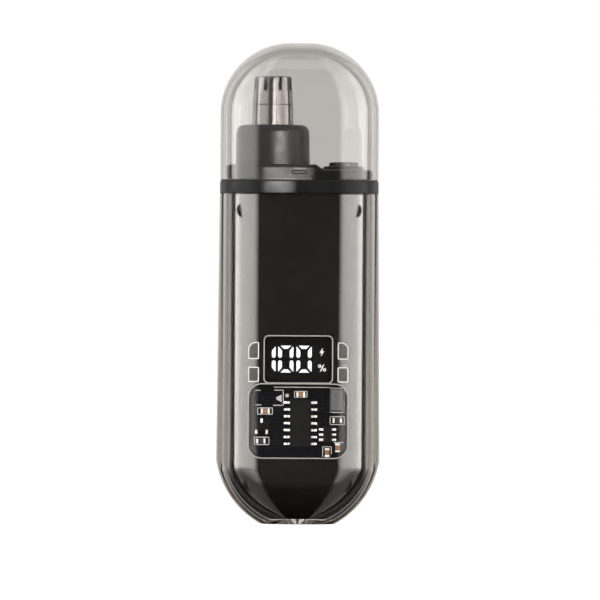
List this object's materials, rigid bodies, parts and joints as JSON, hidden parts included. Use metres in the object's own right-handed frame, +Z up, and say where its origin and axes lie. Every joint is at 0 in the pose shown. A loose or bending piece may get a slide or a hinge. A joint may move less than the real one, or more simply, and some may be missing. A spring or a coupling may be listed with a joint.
{
  "type": "nose hair trimmer",
  "caption": "Pocket nose hair trimmer: smoked clear body over a black case with display and circuit windows, a slotted steel cutter on a twist-off collar, a push button and a clear dust cap.",
  "frame": {"origin": "middle of the flat base, at the bottom of the outer shell", "axes": "+Z up along the body to the cap's dome; -Y is the front with the windows; +X is to the right seen from the front"},
  "size_m": [0.0304, 0.019, 0.089],
  "materials": {
    "smoke_shell": "thick smoked clear polycarbonate, polished",
    "smoke_cap": "smoked clear polycarbonate, polished",
    "case_black": "high-gloss black moulding",
    "display_tint": "dark tinted clear window",
    "window_clear": "lightly tinted clear window",
    "trim_black": "glossy black trim with a soft top edge",
    "deck_black": "satin black moulding",
    "collar_black": "satin black moulding",
    "button_black": "semi-gloss black",
    "polished_steel": "polished stainless steel",
    "blade_steel": "ground steel",
    "plain_steel": "bright steel",
    "black_rubber": "black silicone rubber",
    "board_black": "black solder mask with fine tracks",
    "board_green": "green solder mask",
    "chip_black": "moulded epoxy",
    "tinned_lead": "tinned copper",
    "capacitor_brown": "fired ceramic",
    "inductor_grey": "ferrite",
    "display_black": "black display block",
    "display_white": "lit white segments",
    "port_steel": "drawn steel port shell",
    "port_black": "black port tongue",
    "cell_blue": "blue shrink-wrapped can",
    "wire_red": "red silicone insulation",
    "wire_black": "black silicone insulation",
    "magnet_grey": "sintered ferrite magnet",
    "nylon_white": "natural nylon",
    "brass": "bright brass",
    "core_steel": "stamped steel laminations",
    "copper_wire": "enamelled copper wire",
    "ribbon_amber": "amber flexible circuit"
  },
  "bodies": {
    "handle": {"outer_shell": "smoke_shell", "front_cover": "case_black", "rear_cover": "case_black", "display_lens": "display_tint", "circuit_lens": "window_clear", "trim_band": "trim_black", "deck": "deck_black", "deck_gasket": "black_rubber", "button_bezel": "deck_black", "shaft_seal": "black_rubber", "main_board": "board_black", "control_ic": "chip_black", "ic_leads": "tinned_lead", "charge_ic": "chip_black", "charge_ic_leads": "tinned_lead", "power_transistor": "chip_black", "transistor_leads": "tinned_lead", "chip_capacitors": "capacitor_brown", "chip_terminals": "tinned_lead", "chip_resistors": "chip_black", "power_inductor": "inductor_grey", "display_module": "display_black", "display_segments": "display_white", "usb_shell": "port_steel", "usb_tongue": "port_black", "battery_cell": "cell_blue", "battery_tabs": "tinned_lead", "battery_lead_red": "wire_red", "battery_lead_black": "wire_black", "motor_can": "plain_steel", "motor_magnets": "magnet_grey", "motor_end_cap": "nylon_white", "motor_terminals": "brass", "motor_damper": "black_rubber", "motor_plate": "plain_steel", "motor_screws": "plain_steel", "motor_lead_red": "wire_red", "motor_lead_black": "wire_black", "case_screws": "plain_steel", "button_board": "board_green", "switch_body": "chip_black", "button_ribbon": "ribbon_amber"},
    "head_grip": {"head_seal": "black_rubber"},
    "cutter_head": {"head_collar": "collar_black", "lower_sleeve": "polished_steel", "comb_tube": "polished_steel"},
    "cap": {"dust_cap": "smoke_cap"},
    "drive": {"motor_shaft": "plain_steel", "motor_armature": "core_steel", "armature_windings": "copper_wire", "drive_coupling": "nylon_white", "blade_spring": "plain_steel", "blade_carrier": "nylon_white", "inner_blade": "blade_steel"},
    "button": {"button_cap": "button_black", "switch_plunger": "nylon_white"}
  },
  "joints": [
    {"name": "head_lift", "type": "slide", "parent": "handle", "child": "head_grip", "axis": [0, 0, 1], "range_m": [0, 0.025]},
    {"name": "head_twist", "type": "hinge", "parent": "head_grip", "child": "cutter_head", "pos_m": [-0.005, 0, 0.0664], "axis": [0, 0, 1], "range_deg": [0, 40]},
    {"name": "cap_lift", "type": "slide", "parent": "head_grip", "child": "cap", "axis": [0, 0, 1], "range_m": [0, 0.028]},
    {"name": "blade_spin", "type": "hinge", "parent": "handle", "child": "drive", "pos_m": [-0.005, 0, 0.0626], "axis": [0, 0, 1], "continuous": true},
    {"name": "button_press", "type": "slide", "parent": "handle", "child": "button", "axis": [0, 0, -1], "range_m": [0, 0.0005], "stiffness_N_per_m": 600, "springref_m": -0.001}
  ]
}
